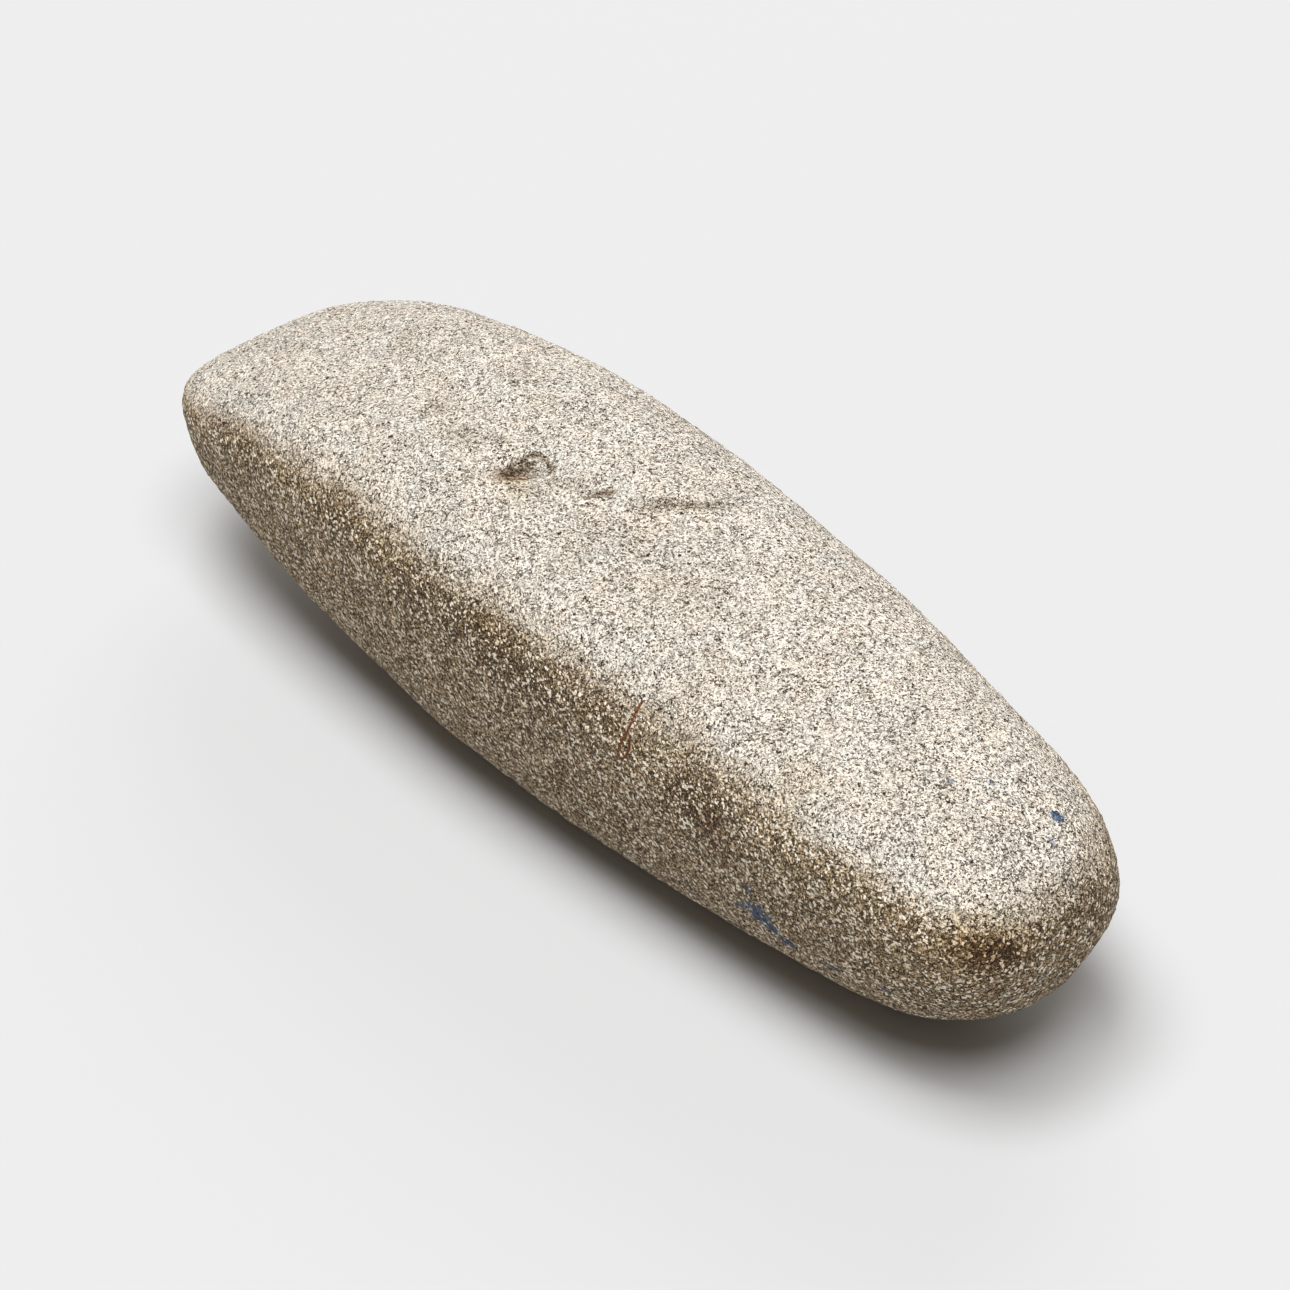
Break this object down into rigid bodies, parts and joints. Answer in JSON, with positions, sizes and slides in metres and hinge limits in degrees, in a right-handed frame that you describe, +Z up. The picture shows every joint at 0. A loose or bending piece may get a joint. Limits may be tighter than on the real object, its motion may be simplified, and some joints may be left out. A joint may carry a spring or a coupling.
{
  "type": "stone axe head",
  "caption": "Long four-sided stone axe head, pecked and ground, with a blunt arched cutting edge and a rounded butt, lying loose on its underside.",
  "frame": {"origin": "middle of the base, on the ground that the head lies on", "axes": "+X along the head from the butt to the cutting edge, +Y across it, +Z up"},
  "size_m": [0.201, 0.0582, 0.0512],
  "materials": {
    "pecked_stone": "matte, pecked and ground, grey-beige with dark and pale grains"
  },
  "bodies": {
    "root": {"axe_head": "pecked_stone"}
  },
  "joints": []
}
